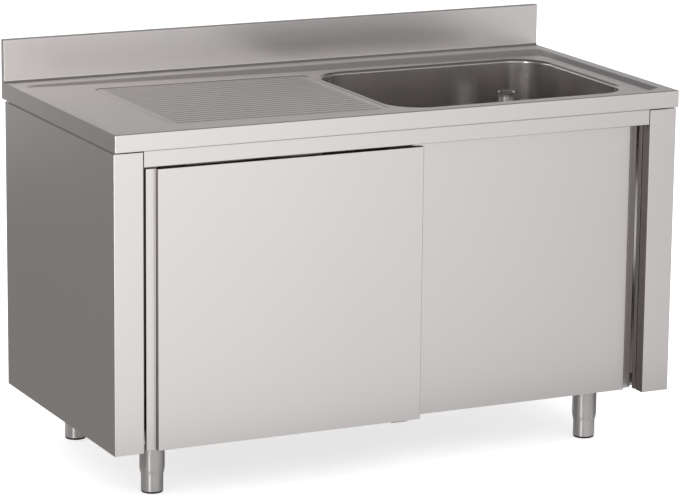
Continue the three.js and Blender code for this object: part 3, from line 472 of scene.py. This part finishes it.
hole, hole_edges = outline_of(bm, bowl_outline(bm, HOLE_MARGIN, TOP))
field, field_edges = outline_of(bm, rounded_plate(bm, FIELD_X, FIELD_Y, FIELD_CORNER, TOP))
bmesh.ops.triangle_fill(bm, use_beauty=True, edges=wall_edges + hole_edges + field_edges)
sunk_edges, all_sunk = field_edges, []
for depth in (GROOVE_DEPTH, FIELD_SUNK):
    sunk, sunk_edges = strip_along(bm, sunk_edges)
    for vert in sunk:
        vert.co.x += GROOVE_STEP if vert.co.x < FIELD_MIDDLE[0] else -GROOVE_STEP
        vert.co.y += GROOVE_STEP if vert.co.y < FIELD_MIDDLE[1] else -GROOVE_STEP
        vert[relief] = -depth
    all_sunk += sunk

rib_lines = [RIB_PITCH * (number - (RIBS - 1) / 2) + FIELD_MIDDLE[1] for number in range(RIBS)]
rib_edges = []
for y in rib_lines:
    foot = rounded_plate(bm, RIB_X, (y - RIB_HALF, y + RIB_HALF), RIB_ROUND, TOP, 4)
    rib_edges += outline_of(bm, foot)[1]
bmesh.ops.triangle_fill(bm, use_beauty=True, edges=sunk_edges + rib_edges)
rib_feet = {vert for edge in rib_edges for vert in edge.verts}
for vert in {*hole, *field, *all_sunk, *rib_feet}:
    vert[share] = 1
for vert in rib_feet:
    vert[relief] = -FIELD_SUNK
reached = 0
for inset, rise in RIB_CROWN:
    crown, rib_edges = strip_along(bm, rib_edges)
    for vert in crown:
        y = min(rib_lines, key=lambda line: abs(line - vert.co.y))
        vert.co.y = y + (vert.co.y - y) * (RIB_HALF - inset) / (RIB_HALF - reached)
        vert.co.x += (inset - reached) * (1 if vert.co.x < FIELD_MIDDLE[0] else -1)
        vert[relief] = rise - FIELD_SUNK
    reached = inset
bmesh.ops.edgeloop_fill(bm, edges=rib_edges)

# The press goes down. A line across at the bowl's left lets the slope end there.
bmesh.ops.bisect_plane(
    bm,
    geom=bm.verts[:] + bm.edges[:] + bm.faces[:],
    plane_co=(LEVEL_FROM, 0, 0),
    plane_no=(1, 0, 0),
)
for vert in bm.verts:
    if vert[share] > 0:
        vert.co.z = TOP - pressed(vert[share]) * recess_depth(vert.co.x) + vert[relief]

worktop = sheet_piece("worktop_sheet", bm, steel_along, SHEET, (0, 0, 1))
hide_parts("worktop")
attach(worktop, "cabinet")


def plain_finish(name, colour, roughness, speck, speck_scale, metallic=0.0, shine=0.5):
    """A moulded, painted or plated finish, a little uneven in tone and gloss."""
    material, tree = shader(name)
    coat = tree.nodes["Principled BSDF"]
    coat.inputs["Metallic"].default_value = metallic
    coat.inputs["Specular IOR Level"].default_value = shine
    place = tree.nodes.new("ShaderNodeTexCoord")
    cloud = noise(tree, place.outputs["Object"], speck_scale, detail=4)
    tone = uneven_tone(tree, cloud, colour, speck)
    gloss = fade(tree, cloud, 0, 1, roughness - 0.08, roughness + 0.08, "LINEAR")
    grain = uneven_surface(tree, cloud, 0.1, height=0.0002)
    tree.links.new(tone, coat.inputs["Base Color"])
    tree.links.new(gloss, coat.inputs["Roughness"])
    tree.links.new(grain, coat.inputs["Normal"])
    return material


def dress(material, *names):
    """Gives nodes that stay as they are in the frame their finish."""
    for name in names:
        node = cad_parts[name]
        node.data.materials.clear()
        node.data.materials.append(material)


# The laminated board glued under the sheet stays as it is in the frame.
dress(plain_finish("sealed_board", (0.42, 0.3, 0.18), 0.6, 0.2, 35), "underlay_board")

# ---- Bowl -----------------------------------------------------------------------------------
# Deep drawn from 1.5 mm stainless steel, with a rolled edge that is welded flush into the
# worktop. The wall leans in a little, and a round seat is pressed into the floor for the waste.

BOWL_DEPTH, WALL_LEANS_IN, FLOOR_ROUND = 0.3, 0.008, 0.04
BOWL_EDGE, EDGE_ROLL = 0.00705, 0.007
BOWL_TOP = TOP - (SHALLOW + FALL)
BOWL_FLOOR = BOWL_TOP - BOWL_DEPTH
WASTE, WASTE_SUNK = (0.49, 0.098), 0.004
SEAT = BOWL_FLOOR - WASTE_SUNK
# The seat's rings as radius and height, from the floor's edge in to the hole.
SEAT_RINGS = (
    (0.0545, BOWL_FLOOR),
    (0.0525, BOWL_FLOOR - 0.0008),
    (0.0503, SEAT),
    (0.0263, SEAT),
)

steel_bowl = satin_steel("satin_steel_of_the_bowl", (160, 160, 9), (0.66, 0.63, 0.62), 0.23, 0.004)

bm = bmesh.new()
_, edge_out = outline_of(bm, bowl_outline(bm, BOWL_EDGE, BOWL_TOP))
_, edge_in = outline_of(bm, bowl_outline(bm, 0, BOWL_TOP))
floor_plate = bowl_outline(bm, -WALL_LEANS_IN, BOWL_FLOOR)
floor_edges = list(floor_plate.edges)
bmesh.ops.bridge_loops(bm, edges=edge_out + edge_in)
bmesh.ops.bridge_loops(bm, edges=edge_in + floor_edges)
round_edges(bm, floor_edges, FLOOR_ROUND, 8)
round_edges(bm, edge_in, EDGE_ROLL, 5)
bm.normal_update()
level_faces = [face for face in bm.faces if abs(face.normal.z) > 0.99]
floor_plate = max(
    (face for face in level_faces if face.verts[0].co.z < BOWL_FLOOR + 0.001),
    key=lambda face: face.calc_area(),
)
_, floor_edges = outline_of(bm, floor_plate)
rings = []
for radius, z in SEAT_RINGS:
    circle = bmesh.ops.create_circle(
        bm, segments=52, radius=radius, matrix=Matrix.Translation((*WASTE, z))
    )["verts"]
    rings.append(list(dict.fromkeys(edge for vert in circle for edge in vert.link_edges)))
bmesh.ops.triangle_fill(bm, use_beauty=True, edges=floor_edges + rings[0])
for outer, inner in zip(rings, rings[1:]):
    bmesh.ops.bridge_loops(bm, edges=outer + inner)
bowl = sheet_piece("bowl_shell", bm, steel_bowl, SHEET, (0, 0, 1))
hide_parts("sink_bowl")
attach(bowl, "cabinet")

# ---- Waste fitting and standpipe ------------------------------------------------------------
# A polished flange sits in the bowl's seat over a black rubber gasket and a black moulded body.
# The overflow pipe is bright drawn tube with a flared rim, pushed into the flange by its seal.

# The hair's breadth that is left between pieces that rest on each other.
SNUG = 0.0003
NECK_OUT, NECK_IN, FLANGE_OUT, FLANGE_THICK = 0.026, 0.024, 0.043, 0.002
SEALING_STEP = SEAT - 0.013
PIPE_OUT, PIPE_IN, PIPE_TOP = 0.018, 0.0168, TOP - 0.064
# The pipe's flared rim, up outside and down inside, as radius and depth below the pipe's top.
FLARE = (
    (PIPE_OUT, 0.012),
    (0.0186, 0.008),
    (0.0201, 0.004),
    (0.021, 0.0015),
    (0.021, 0),
    (0.0196, 0),
    (0.0174, 0.0022),
    (PIPE_IN, 0.004),
)
TURNED_STEPS, EASED = 72, 0.0003


def turned_steel(name, grain, colour, roughness):
    """Satin steel with fine grooves round an upright tube, so its gloss spreads up and down."""
    material = satin_steel(name, grain, colour, roughness, 0.01)
    tree = material.node_tree
    tree.nodes["Principled BSDF"].inputs["Anisotropic"].default_value = 0.85
    upright = tree.nodes.new("ShaderNodeCombineXYZ")
    upright.inputs["Z"].default_value = 1
    tree.links.new(upright.outputs[0], tree.nodes["Principled BSDF"].inputs["Tangent"])
    return material


polished = satin_steel("polished_steel", (60, 60, 60), (0.8, 0.795, 0.79), 0.14)
bright_tube = turned_steel("bright_drawn_tube", (40, 40, 900), (0.9, 0.89, 0.88), 0.36)
# A dark copy of the satin steel for faces in gaps and inside the tube: painted shade, not a finish
# the steel has.
steel_darkened_as_painted_shade = satin_steel("steel_painted_with_gap_shade", (300, 300, 300), (0.2, 0.18, 0.17), 0.4)
black_rubber = plain_finish("black_rubber", (0.02, 0.02, 0.02), 0.75, 0.25, 90)
black_plastic = plain_finish("black_plastic", (0.025, 0.025, 0.027), 0.5, 0.2, 60)


def turned_piece(name, profile, centre, material):
    """A closed outline of (radius, z) turned once round an upright axis, with eased edges."""
    bm = bmesh.new()
    points = [bm.verts.new((centre[0] + radius, centre[1], z)) for radius, z in profile]
    lines = [bm.edges.new(pair) for pair in zip(points, points[1:])]
    if profile[0][0] > 0:
        lines.append(bm.edges.new((points[-1], points[0])))
    bmesh.ops.spin(
        bm,
        geom=points + lines,
        cent=(*centre, 0),
        axis=(0, 0, 1),
        angle=2 * pi,
        steps=TURNED_STEPS,
        use_merge=True,
    )
    bmesh.ops.remove_doubles(bm, verts=bm.verts, dist=1e-6)
    bmesh.ops.recalc_face_normals(bm, faces=bm.faces)
    bm.normal_update()
    creases = [e for e in bm.edges if e.is_manifold and e.calc_face_angle() > radians(25)]
    round_edges(bm, creases, EASED, 2)
    return sheet_piece(name, bm, material)


def refinish(piece, finish, chosen):
    """Gives some of a piece's faces another finish, such as steel darkened as painted shade inside
    a gap.
    """
    piece.data.materials.append(finish)
    for face in piece.data.polygons:
        if chosen(face):
            face.material_index = len(piece.data.materials) - 1


flange = turned_piece(
    "waste_flange_ring",
    [
        (PIPE_IN, SEALING_STEP - FLANGE_THICK),
        (NECK_OUT, SEALING_STEP - FLANGE_THICK),
        (NECK_OUT, SEAT + SNUG),
        (FLANGE_OUT, SEAT + SNUG),
        (FLANGE_OUT - 0.001, SEAT + SNUG + FLANGE_THICK),
        (NECK_OUT, SEAT + SNUG + FLANGE_THICK),
        (NECK_IN, SEAT + SNUG),
        (NECK_IN, SEALING_STEP),
        (PIPE_IN, SEALING_STEP),
    ],
    WASTE,
    polished,
)
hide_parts("waste_flange")
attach(flange, "cabinet")

pipe = turned_piece(
    "overflow_tube",
    [
        (PIPE_IN, SEALING_STEP + SNUG),
        (PIPE_OUT, SEALING_STEP + SNUG),
        *((radius, PIPE_TOP - below) for radius, below in FLARE),
    ],
    WASTE,
    bright_tube,
)
# Its rim is polished, and its inside below the rim's inner slope is darkened steel: painted shade
# inside the tube.
refinish(pipe, polished, lambda face: face.center.z > PIPE_TOP - 0.005)
refinish(
    pipe,
    steel_darkened_as_painted_shade,
    lambda face: face.center.z < PIPE_TOP - 0.003
    and face.normal.xy.dot(face.center.xy - Vector(WASTE)) < -0.004,
)
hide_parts("standpipe")
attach(pipe, "overflow_pipe")
dress(black_rubber, "waste_gasket", "standpipe_seal")
dress(black_plastic, "waste_body")

# ---- Side panels and jambs ------------------------------------------------------------------
# Each end is one 1.2 mm satin sheet: folded round the front into a post and in at the rear. A
# small channel behind the post is the jamb. Both are spot welded inside, where nothing shows.

SIDES = (("left", -1), ("right", 1))
PANEL = 0.0012
PANEL_OUT, PANEL_REAR = 0.6995, 0.329
REAR_RETURN, TOP_FLANGE = 0.026, 0.024
POST_IN, POST_FACE, POST_BACK = 0.63, -0.3408, -0.3123
CABINET_BOTTOM, PANEL_TOP = 0.1334, 0.806
JAMB_OUT, JAMB_LIP = 0.698, 0.014
JAMB_FRONT, JAMB_BACK, JAMB_FOLD = POST_BACK + 0.0055, POST_BACK + 0.0195, 0.0015


def folded_sheet(path, z0, z1, bend):
    """The skin of a sheet that is folded along a plan path and stands from z0 to z1."""
    bm = bmesh.new()
    points = [bm.verts.new((x, y, z0)) for x, y in path]
    lines = [bm.edges.new(pair) for pair in zip(points, points[1:])]
    raised = bmesh.ops.extrude_edge_only(bm, edges=lines)["geom"]
    bmesh.ops.translate(bm, verts=verts_in(raised), vec=(0, 0, z1 - z0))
    round_edges(bm, [edge for edge in bm.edges if len(edge.link_faces) == 2], bend)
    return bm


for side, hand in SIDES:
    bm = folded_sheet(
        [
            (hand * POST_IN, POST_BACK),
            (hand * POST_IN, POST_FACE),
            (hand * PANEL_OUT, POST_FACE),
            (hand * PANEL_OUT, PANEL_REAR),
            (hand * (PANEL_OUT - REAR_RETURN), PANEL_REAR),
        ],
        CABINET_BOTTOM,
        PANEL_TOP,
        FOLD,
    )
    long_top = max(
        (edge for edge in bm.edges if all(vert.co.z > PANEL_TOP - 1e-5 for vert in edge.verts)),
        key=lambda edge: edge.calc_length(),
    )
    flange_in = bmesh.ops.extrude_edge_only(bm, edges=[long_top])["geom"]
    bmesh.ops.translate(bm, verts=verts_in(flange_in), vec=(-hand * TOP_FLANGE, 0, 0))
    panel = sheet_piece(f"{side}_side_sheet", bm, steel_upright, PANEL, (hand, 0, 0))
    # The post's return looks into the gap beside the door, and is darkened steel: painted shade.
    refinish(
        panel,
        steel_darkened_as_painted_shade,
        lambda face: face.normal.x * hand < -0.7 and abs(face.center.x) < PANEL_OUT - 0.03,
    )
    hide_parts(f"{side}_side_panel")
    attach(panel, "cabinet")

    bm = folded_sheet(
        [
            (hand * JAMB_OUT, JAMB_FRONT),
            (hand * JAMB_OUT, JAMB_BACK),
            (hand * POST_IN, JAMB_BACK),
            (hand * POST_IN, JAMB_FRONT),
            (hand * (POST_IN + JAMB_LIP), JAMB_FRONT),
        ],
        CABINET_BOTTOM,
        PANEL_TOP - PANEL - SNUG,
        JAMB_FOLD,
    )
    # The whole jamb channel is darkened steel: painted shade in the gap behind the post.
    jamb = sheet_piece(f"{side}_jamb_channel", bm, steel_darkened_as_painted_shade, PANEL, (0, 1, 0))
    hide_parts(f"{side}_jamb")
    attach(jamb, "cabinet")

# ---- Top rail -------------------------------------------------------------------------------
# A folded strip of 1.2 mm satin sheet between the posts, under the apron, with a small lip
# below. It is welded to both posts, carries the door track and hides it.

RAIL_FACE, RAIL_BACK, RAIL_END = -0.3398, -0.2815, 0.6284
RAIL_BOTTOM, RAIL_TOP, RAIL_LIP = 0.772, 0.8085, 0.005

bm = bmesh.new()
points = [
    bm.verts.new((-RAIL_END, y, z))
    for y, z in (
        (RAIL_FACE + RAIL_LIP, RAIL_BOTTOM),
        (RAIL_FACE, RAIL_BOTTOM),
        (RAIL_FACE, RAIL_TOP),
        (RAIL_BACK, RAIL_TOP),
    )
]
lines = [bm.edges.new(pair) for pair in zip(points, points[1:])]
drawn = bmesh.ops.extrude_edge_only(bm, edges=lines)["geom"]
bmesh.ops.translate(bm, verts=verts_in(drawn), vec=(2 * RAIL_END, 0, 0))
round_edges(bm, [edge for edge in bm.edges if len(edge.link_faces) == 2], FOLD)
rail = sheet_piece("top_rail_strip", bm, steel_along, PANEL, (0, -1, 0))
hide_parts("top_rail")
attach(rail, "cabinet")

# ---- Inside the cabinet ---------------------------------------------------------------------
# Rear panel and shelf are satin sheet. Track, stiffener and door guide are zinc plated, and the
# guide's fins are nylon. The stops in the track's ends are rubber.

zinc = plain_finish("dull_zinc_plate", (0.56, 0.57, 0.58), 0.42, 0.08, 45, metallic=1.0)
nylon = plain_finish("white_nylon", (0.78, 0.77, 0.73), 0.5, 0.04, 70)
dress(steel_upright, "rear_panel")
dress(steel_along, "bottom_shelf")
dress(zinc, "door_track", "shelf_stiffener", "centre_door_guide")
dress(nylon, "front_guide_fin", "rear_guide_fin")
for track in ("front", "rear"):
    dress(black_rubber, f"{track}_track_left_stop", f"{track}_track_right_stop")

# ---- Sliding doors --------------------------------------------------------------------------
# Each door is a folded tray of 1.2 mm satin steel with a step along its outer edge as a grip,
# closed behind by a liner. It hangs from two rollers, and a slot below runs over a nylon fin.

DOOR_HALF, DOOR_DEPTH = 0.3345, 0.018
DOOR_BOTTOM, DOOR_TOP = 0.133, 0.7645
GRIP_WIDTH, GRIP_DEPTH = 0.024, 0.0115
DOOR_FOLD, BRIM_ROUND = 0.0022, 0.0008
SLOT_FRONT, SLOT_BACK, SLOT_FROM_ENDS = 0.0057, 0.0127, 0.0024
# Each door's side and hand, and the places of its middle and its face at rest.
DOORS = (("left", -1, -0.2835, -0.3335), ("right", 1, 0.294, -0.2995))

# Black for the door hangers, so the gap under the rail reads dark: painted shade.
painted_shade_black = plain_finish("painted_shade_black", (0.012, 0.012, 0.012), 0.6, 0.15, 50, shine=0.1)


def faces_at(bm, z):
    """The faces that lie level at a height."""
    return [face for face in bm.faces if all(abs(vert.co.z - z) < 1e-6 for vert in face.verts)]


def close_tray(bm, z):
    """Folds the tray shut at its top or bottom."""
    brim = [
        edge
        for edge in bm.edges
        if edge.is_boundary and all(abs(vert.co.z - z) < 1e-6 for vert in edge.verts)
    ]
    ends = [vert for vert in bm.verts if sum(edge in brim for edge in vert.link_edges) == 1]
    bmesh.ops.edgeloop_fill(bm, edges=brim + [bm.edges.new(ends)])


def cut_slot(bm, z, x, y):
    """Cuts the slot for the guide's fin out of the tray's bottom."""
    cuts = [((0, place, 0), (0, 1, 0)) for place in y]
    cuts += [((place, 0, 0), (1, 0, 0)) for place in x]
    for point, normal in cuts:
        around = [item for face in faces_at(bm, z) for item in (face, *face.edges, *face.verts)]
        bmesh.ops.bisect_plane(
            bm, geom=list(dict.fromkeys(around)), plane_co=point, plane_no=normal
        )
    slot = []
    for face in faces_at(bm, z):
        middle = face.calc_center_median()
        if x[0] < middle.x < x[1] and y[0] < middle.y < y[1]:
            slot.append(face)
    bmesh.ops.delete(bm, geom=slot, context="FACES")


for side, hand, centre, face_y in DOORS:
    step = DOOR_HALF - GRIP_WIDTH
    back = DOOR_DEPTH - PANEL - SNUG
    plan = [
        (-DOOR_HALF, back),
        (-DOOR_HALF, 0),
        (step, 0),
        (step, GRIP_DEPTH),
        (DOOR_HALF, GRIP_DEPTH),
        (DOOR_HALF, back),
    ]
    path = [(centre + hand * x, face_y + y) for x, y in plan]
    bm = folded_sheet(path, DOOR_BOTTOM, DOOR_TOP, DOOR_FOLD)
    close_tray(bm, DOOR_BOTTOM)
    slot_ends = sorted(
        (centre + hand * (step - SLOT_FROM_ENDS), centre - hand * (DOOR_HALF - SLOT_FROM_ENDS))
    )
    cut_slot(bm, DOOR_BOTTOM, slot_ends, (face_y + SLOT_FRONT, face_y + SLOT_BACK))
    close_tray(bm, DOOR_TOP)
    brims = [
        edge
        for edge in bm.edges
        if len(edge.link_faces) == 2
        and edge.calc_face_angle() > radians(60)
        and abs(edge.verts[0].co.z - edge.verts[1].co.z) < 1e-6
    ]
    round_edges(bm, brims, BRIM_ROUND, 2)
    skin = sheet_piece(f"{side}_door_tray", bm, steel_upright, PANEL, (0, -1, 0))
    # Its top and its outer edge look into the gaps under the rail and beside the post, and are
    # darkened steel: painted shade.
    refinish(skin, steel_darkened_as_painted_shade, lambda face: max(face.normal.z, face.normal.x * hand) > 0.7)
    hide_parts(f"{side}_door_skin")
    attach(skin, f"{side}_door")
    dress(steel_upright, f"{side}_door_liner")
    # The hangers take the black that stands for the shade under the rail: painted shade.
    for place in ("outer", "inner"):
        dress(painted_shade_black, f"{side}_door_{place}_hanger")
        dress(nylon, f"{side}_door_{place}_roller")

# ---- Legs -----------------------------------------------------------------------------------
# Satin tube, welded to a square plate under the shelf and necked in at its foot. A bright foot
# goes up and down in it on a threaded stud, and stands on a thin black sole.

LEG_X, LEG_Y = 0.555, {"front": -0.203, "rear": 0.268}
LEG_LOW, TAPER_LOW, TAPER_HIGH, LEG_TOP = 0.045, 0.04775, 0.056, 0.1619
LEG_OUT, LEG_IN, LEG_END_OUT, LEG_END_IN = 0.0285, 0.027, 0.0266, 0.0256
PLATE_SIDE, PLATE_CORNER, PLATE_BOTTOM = 0.096, 0.006, LEG_TOP - 0.003
FOOT_OUT, FOOT_IN, FOOT_FLOOR, STUD = 0.0252, 0.0237, 0.003, 0.008
FOOT_LOW, FOOT_HIGH, STUD_TOP = 0.004, 0.0919, 0.1469
SOLE_OUT, SOLE_TOP, CHAMFER = 0.0244, 0.0037, 0.001

steel_turned = turned_steel("satin_steel_of_the_legs", (40, 40, 1200), (0.62, 0.6, 0.59), 0.32)

for row, y in LEG_Y.items():
    for side, hand in SIDES:
        place = (hand * LEG_X, y)
        name = f"{row}_{side}"
        leg = turned_piece(
            f"{name}_leg_tube",
            [
                (LEG_END_IN, LEG_LOW),
                (LEG_END_OUT, LEG_LOW),
                (LEG_END_OUT, TAPER_LOW),
                (LEG_OUT, TAPER_HIGH),
                (LEG_OUT, PLATE_BOTTOM),
                (LEG_IN, PLATE_BOTTOM),
                (LEG_IN, TAPER_HIGH),
                (LEG_END_IN, TAPER_LOW),
            ],
            place,
            steel_turned,
        )
        bm = bmesh.new()
        bmesh.ops.create_cube(
            bm,
            size=1,
            matrix=Matrix.Translation((*place, (LEG_TOP + PLATE_BOTTOM) / 2))
            @ Matrix.Diagonal((PLATE_SIDE, PLATE_SIDE, LEG_TOP - PLATE_BOTTOM, 1)),
        )
        corners = [e for e in bm.edges if abs(e.verts[0].co.z - e.verts[1].co.z) > 0.001]
        round_edges(bm, corners, PLATE_CORNER, 4)
        plate = sheet_piece(f"{name}_leg_plate", bm, steel_upright)
        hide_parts(f"{name}_leg")
        for part in (leg, plate):
            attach(part, "cabinet")
        shoe = turned_piece(
            f"{name}_foot_shell",
            [
                (0, FOOT_LOW),
                (FOOT_OUT - CHAMFER, FOOT_LOW),
                (FOOT_OUT, FOOT_LOW + CHAMFER),
                (FOOT_OUT, FOOT_HIGH),
                (FOOT_IN, FOOT_HIGH),
                (FOOT_IN, FOOT_LOW + FOOT_FLOOR),
                (STUD, FOOT_LOW + FOOT_FLOOR),
                (STUD, STUD_TOP),
                (0, STUD_TOP),
            ],
            place,
            steel_turned,
        )
        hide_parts(f"{name}_foot")
        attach(shoe, f"{name}_levelling_foot")
        sole = turned_piece(
            f"{name}_rubber_sole",
            [
                (0, 0),
                (SOLE_OUT - CHAMFER, 0),
                (SOLE_OUT, CHAMFER),
                (SOLE_OUT, SOLE_TOP),
                (0, SOLE_TOP),
            ],
            place,
            black_rubber,
        )
        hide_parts(f"{name}_sole")
        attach(sole, f"{name}_levelling_foot")
        dress(black_plastic, f"{name}_leg_nut")

size = {"cad": cad_box, "visual": [list(corner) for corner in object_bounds()]}
